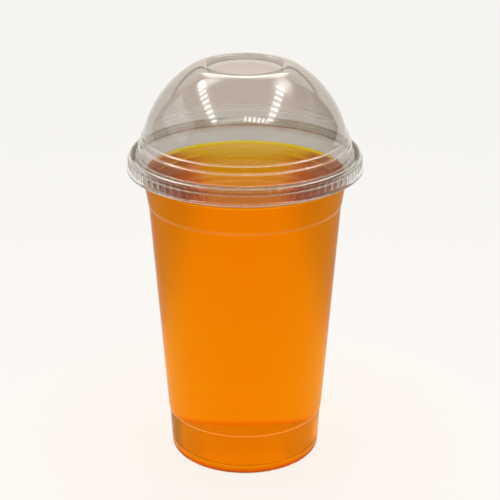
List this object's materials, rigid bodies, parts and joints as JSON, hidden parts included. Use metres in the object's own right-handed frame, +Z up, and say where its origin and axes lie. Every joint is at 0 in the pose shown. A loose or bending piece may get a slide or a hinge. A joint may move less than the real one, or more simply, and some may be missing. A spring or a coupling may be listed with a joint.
{
  "type": "plastic cup with lid",
  "caption": "Clear tapered drink cup with a rolled rim, filled with amber drink, under a clear domed lid with stepped base, fluted skirt and round straw hole.",
  "frame": {"origin": "centre of the ring that the cup stands on, at the surface it stands on", "axes": "+Z up along the axis of the cup; the cup and lid are round, so X and Y are free"},
  "size_m": [0.1016, 0.1016, 0.1779],
  "materials": {
    "clear_cup": "glossy, clear",
    "clear_lid": "glossy, clear",
    "amber_drink": "clear amber liquid"
  },
  "bodies": {
    "cup": {"cup": "clear_cup", "drink": "amber_drink"},
    "lid": {"dome_lid": "clear_lid"}
  },
  "joints": [
    {"name": "lid_lift", "type": "slide", "parent": "cup", "child": "lid", "axis": [0, 0, 1], "range_m": [0, 0.06]}
  ]
}
